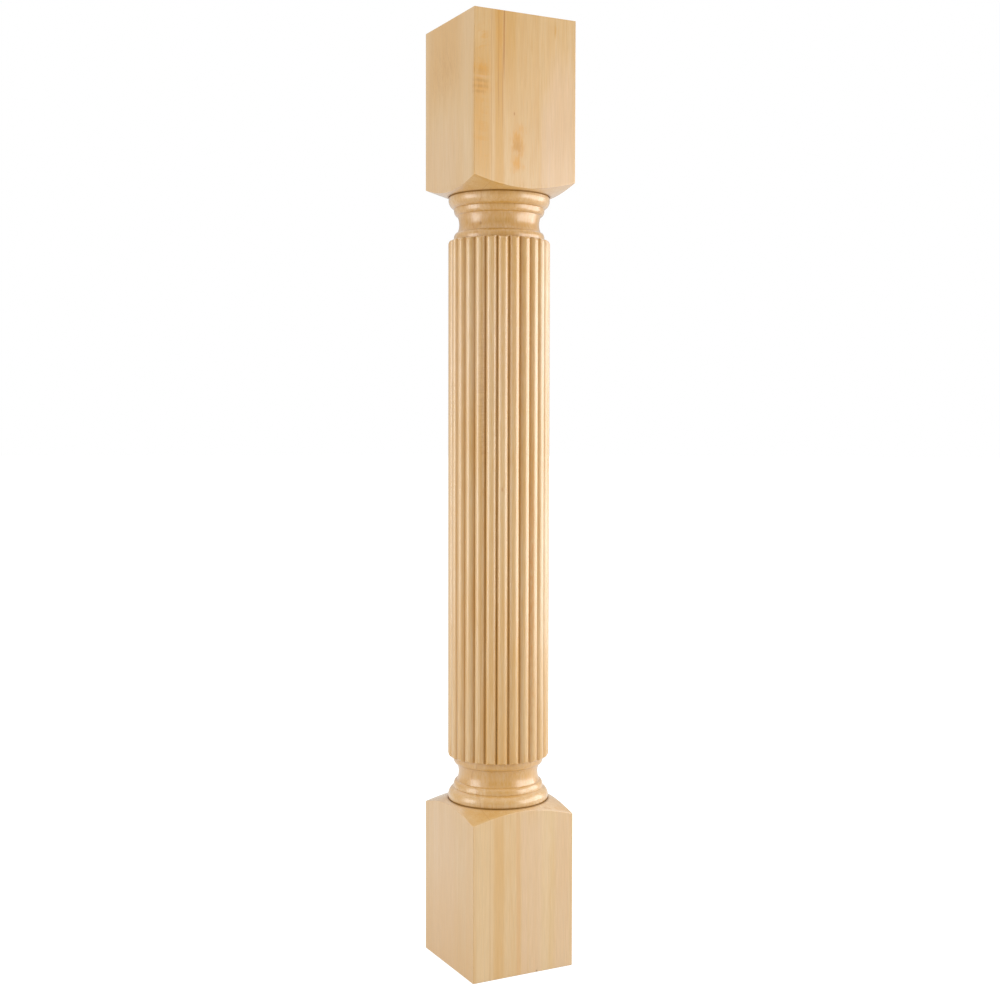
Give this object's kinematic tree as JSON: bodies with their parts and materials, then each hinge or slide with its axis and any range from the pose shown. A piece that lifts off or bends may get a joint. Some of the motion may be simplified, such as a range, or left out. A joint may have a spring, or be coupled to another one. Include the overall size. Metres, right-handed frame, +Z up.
{
  "type": "reeded post",
  "caption": "Square-ended hardwood island post with a turned, reeded shaft between matching torus and cove mouldings, used to carry a worktop corner.",
  "frame": {"origin": "middle of the foot block's underside", "axes": "+Z up along the turning axis, X and Y square to the faces of the blocks"},
  "size_m": [0.127, 0.127, 1.073],
  "materials": {
    "wood": "satin clear lacquer on sanded maple"
  },
  "bodies": {
    "root": {"post": "wood"}
  },
  "joints": []
}
